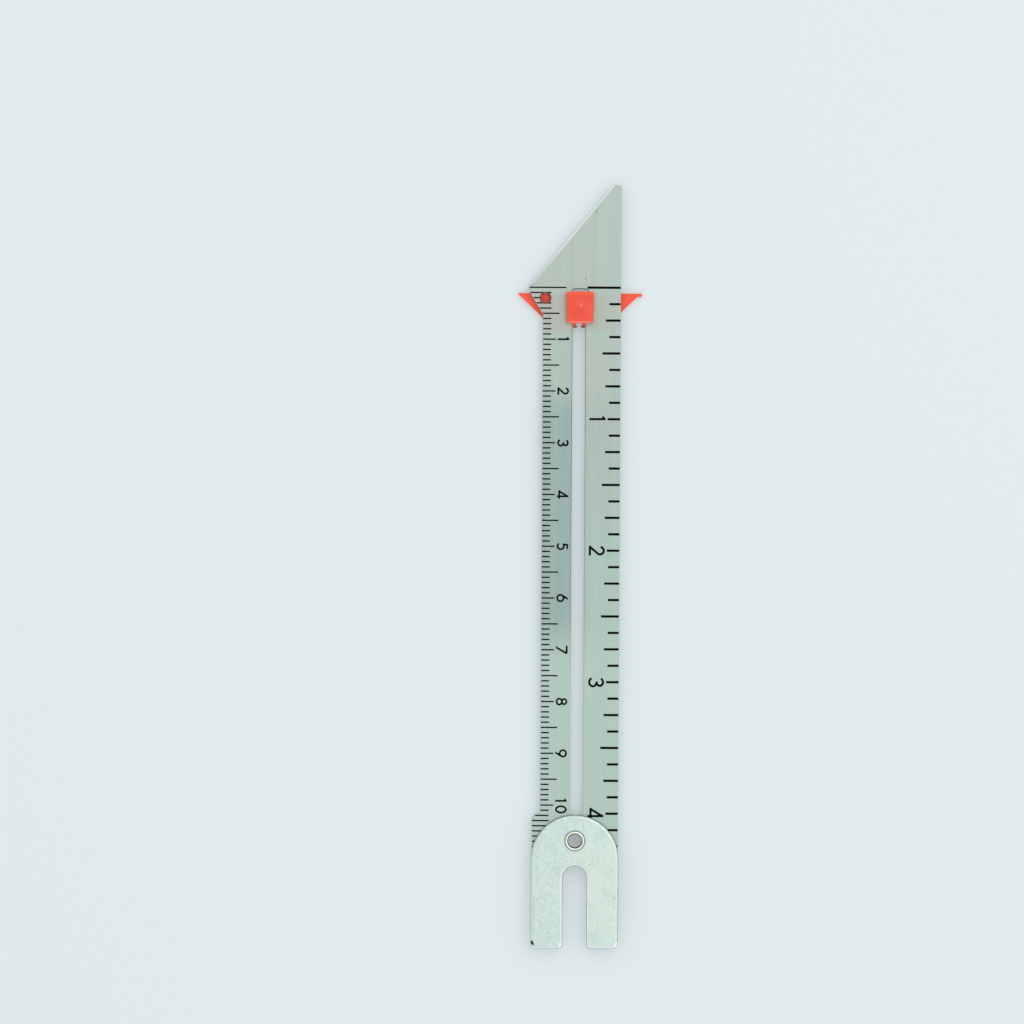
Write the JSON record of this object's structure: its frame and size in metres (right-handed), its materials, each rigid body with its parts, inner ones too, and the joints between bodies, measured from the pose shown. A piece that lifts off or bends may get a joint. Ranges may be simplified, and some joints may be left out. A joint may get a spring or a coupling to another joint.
{
  "type": "sewing gauge",
  "caption": "Flat ruled metal gauge with a slanted collar point, a two-sided plastic slider in a long slot and a forked button spacer that turns on a hollow rivet.",
  "frame": {"origin": "on the hollow rivet's axis, level with the blade's back face", "axes": "+Z along the rivet's axis, out of the printed face; +Y along the blade towards the collar point; +X across it, towards the inch scale"},
  "size_m": [0.0239, 0.1475, 0.004],
  "materials": {
    "blade_metal": "satin, fine lengthwise grain",
    "fork_metal": "bright satin, brushed lengthwise",
    "rivet_metal": "bright nickel plated",
    "slider_plastic": "moulded, semi-gloss",
    "ink": "matt printing ink"
  },
  "bodies": {
    "blade_body": {"blade": "blade_metal", "metric_ticks": "ink", "metric_numerals": "ink", "inch_ticks": "ink", "inch_numerals": "ink", "rivet": "rivet_metal"},
    "slider_body": {"pointer_plate": "slider_plastic", "slider_button": "slider_plastic"},
    "fork_body": {"button_fork": "fork_metal"}
  },
  "joints": [
    {"name": "slider_travel", "type": "slide", "parent": "blade_body", "child": "slider_body", "axis": [0, -1, 0], "range_m": [-0.0011, 0.0912]},
    {"name": "fork_swing", "type": "hinge", "parent": "blade_body", "child": "fork_body", "pos_m": [0, 0, 0.00155], "axis": [0, 0, 1], "range_deg": [-90, 90]}
  ]
}
